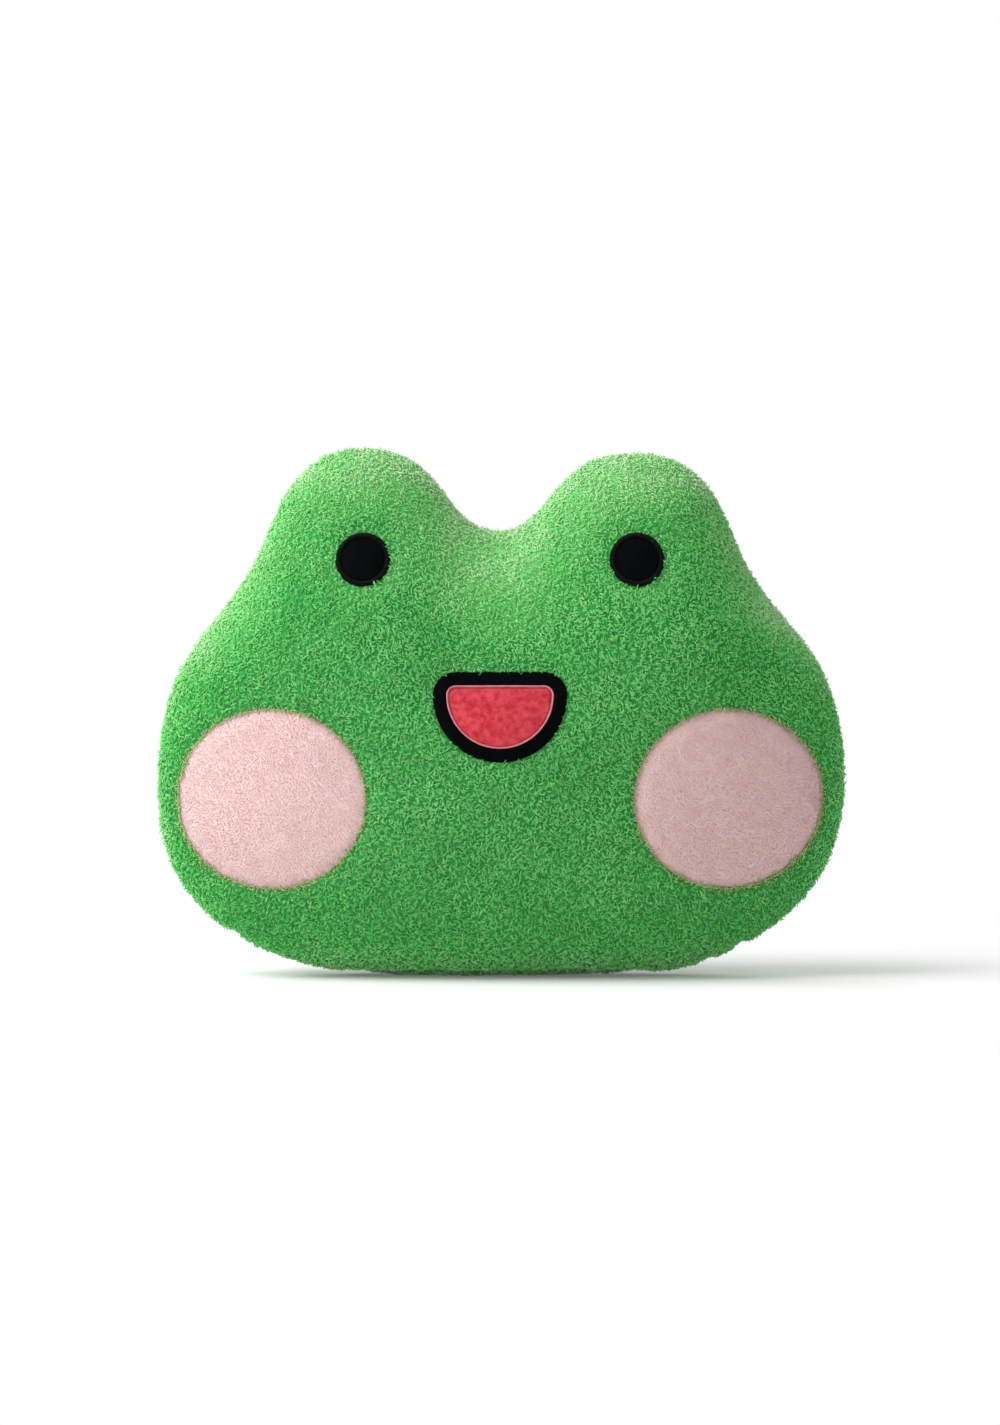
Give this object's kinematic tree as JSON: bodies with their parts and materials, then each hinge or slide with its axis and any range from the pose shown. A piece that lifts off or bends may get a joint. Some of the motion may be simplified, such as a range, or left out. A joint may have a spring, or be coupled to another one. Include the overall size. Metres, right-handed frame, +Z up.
{
  "type": "plush pillow",
  "caption": "Stuffed frog-head pillow with two eye bumps, let-in pink cheeks, sewn-on eyes and smile, and a flat base to stand on.",
  "frame": {"origin": "middle of the bottom of the bounding box, on the plane that the flat base rests on", "axes": "+Z up, the face looks along -Y, +X to the viewer's right as seen from the front"},
  "size_m": [0.4498, 0.1748, 0.3435],
  "materials": {
    "green_plush": "short curly green pile on a knitted backing",
    "pink_plush": "short dense pale pink pile with faint ribs",
    "black_velour": "black velour, slightly fuzzy at the cut edge",
    "red_velour": "red velour with a soft sheen",
    "black_thread": "dense satin stitch in black thread",
    "green_thread": "green sewing thread",
    "pink_thread": "pale pink sewing thread",
    "interfacing": "white non-woven patch",
    "label_satin": "bare white woven satin ribbon",
    "fibre": "loose white polyester fibre"
  },
  "bodies": {
    "root": {"front_panel": "green_plush", "back_panel": "green_plush", "base_panel": "green_plush", "mouth_band": "black_velour", "mouth_inner": "red_velour", "mouth_edge_thread": "pink_thread", "mouth_backing": "interfacing", "left_cheek_panel": "pink_plush", "left_cheek_seam_thread": "green_thread", "left_eye_disc": "black_velour", "left_eye_border": "black_thread", "left_eye_backing": "interfacing", "right_cheek_panel": "pink_plush", "right_cheek_seam_thread": "green_thread", "right_eye_disc": "black_velour", "right_eye_border": "black_thread", "right_eye_backing": "interfacing", "side_seam_thread": "green_thread", "base_seam_thread": "green_thread", "closing_stitch": "green_thread", "care_label": "label_satin", "filling": "fibre"}
  },
  "joints": []
}
